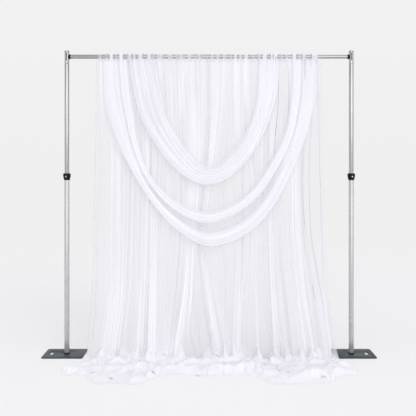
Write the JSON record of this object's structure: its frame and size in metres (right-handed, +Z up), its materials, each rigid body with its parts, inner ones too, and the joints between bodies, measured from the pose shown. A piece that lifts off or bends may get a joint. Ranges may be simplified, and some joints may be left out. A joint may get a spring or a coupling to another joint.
{
  "type": "pipe and drape backdrop",
  "caption": "Free-standing backdrop: telescopic uprights on steel plates hold a telescopic crossbar hung with sheer white curtains and swags.",
  "frame": {"origin": "on the floor, in the middle of the footprint of the plates and the cloth in front of them", "axes": "+X along the crossbar to the right, +Y towards the back, +Z up"},
  "size_m": [3.306, 1.218, 3.048],
  "materials": {
    "black_steel": "satin",
    "pin_black": "satin",
    "polished_tube": "polished",
    "satin_tube": "satin",
    "black_plastic": "satin",
    "bright_steel": "polished",
    "brass": "satin",
    "sheer_cloth": "matte"
  },
  "bodies": {
    "left_lower": {"left_lower_tube": "polished_tube", "left_clamp_collar": "black_plastic", "left_clamp_insert": "brass", "curtain_hem_left_outer": "sheer_cloth", "curtain_hem_left_inner": "sheer_cloth", "curtain_hem_right_inner": "sheer_cloth", "curtain_hem_right_outer": "sheer_cloth"},
    "left_base": {"left_base_plate": "black_steel", "left_base_pin": "pin_black", "left_base_bolt": "bright_steel"},
    "left_upper": {"left_upper_tube": "polished_tube", "left_slotted_head": "polished_tube", "left_upper_foot_plug": "black_plastic", "left_top_cap": "black_plastic"},
    "left_clamp": {"left_clamp_screw": "bright_steel", "left_clamp_knob": "black_plastic"},
    "right_lower": {"right_lower_tube": "polished_tube", "right_clamp_collar": "black_plastic", "right_clamp_insert": "brass"},
    "right_base": {"right_base_plate": "black_steel", "right_base_pin": "pin_black", "right_base_bolt": "bright_steel"},
    "right_upper": {"right_upper_tube": "polished_tube", "right_slotted_head": "polished_tube", "right_upper_foot_plug": "black_plastic", "right_top_cap": "black_plastic"},
    "right_clamp": {"right_clamp_screw": "bright_steel", "right_clamp_knob": "black_plastic"},
    "bar_outer": {"crossbar_outer_tube": "satin_tube", "crossbar_outer_end_plug": "black_plastic", "crossbar_outer_hook": "bright_steel", "crossbar_outer_rivet": "bright_steel", "curtain_left_outer": "sheer_cloth", "curtain_left_inner": "sheer_cloth", "curtain_right_inner": "sheer_cloth", "curtain_right_outer": "sheer_cloth", "swag_short": "sheer_cloth", "swag_long": "sheer_cloth"},
    "bar_inner": {"crossbar_inner_tube": "polished_tube", "crossbar_inner_guide": "black_plastic", "crossbar_inner_end_plug": "black_plastic", "crossbar_inner_hook": "bright_steel", "crossbar_inner_rivet": "bright_steel"}
  },
  "joints": [
    {"name": "left_base_turn", "type": "hinge", "parent": "left_lower", "child": "left_base", "pos_m": [-1.43, 0.431, 0], "axis": [0, 0, 1], "continuous": true},
    {"name": "left_height", "type": "slide", "parent": "left_lower", "child": "left_upper", "axis": [0, 0, 1], "range_m": [-1.1, 0], "deforming": ["curtain_left_outer", "curtain_left_inner", "curtain_right_inner", "curtain_right_outer", "swag_short", "swag_long"]},
    {"name": "left_clamp_turn", "type": "hinge", "parent": "left_lower", "child": "left_clamp", "pos_m": [-1.43, 0.431, 1.785], "axis": [0, -1, 0], "range_deg": [0, 540]},
    {"name": "crossbar_lift", "type": "slide", "parent": "left_upper", "child": "bar_outer", "axis": [0, 0, 1], "range_m": [0, 0.026]},
    {"name": "crossbar_width", "type": "slide", "parent": "bar_outer", "child": "bar_inner", "axis": [1, 0, 0], "range_m": [-0.15, 0.19]},
    {"name": "right_unhook", "type": "slide", "parent": "bar_inner", "child": "right_upper", "axis": [0, 0, 1], "range_m": [-0.026, 0]},
    {"name": "right_height", "type": "slide", "parent": "right_upper", "child": "right_lower", "axis": [0, 0, 1], "range_m": [0, 1.1]},
    {"name": "right_base_turn", "type": "hinge", "parent": "right_lower", "child": "right_base", "pos_m": [1.43, 0.431, 0], "axis": [0, 0, 1], "continuous": true},
    {"name": "right_clamp_turn", "type": "hinge", "parent": "right_lower", "child": "right_clamp", "pos_m": [1.43, 0.431, 1.785], "axis": [0, -1, 0], "range_deg": [0, 540]}
  ],
  "couplings": [
    {"joint": "right_unhook", "follows": "crossbar_lift", "ratio": -1},
    {"joint": "right_height", "follows": "left_height", "ratio": -1}
  ]
}
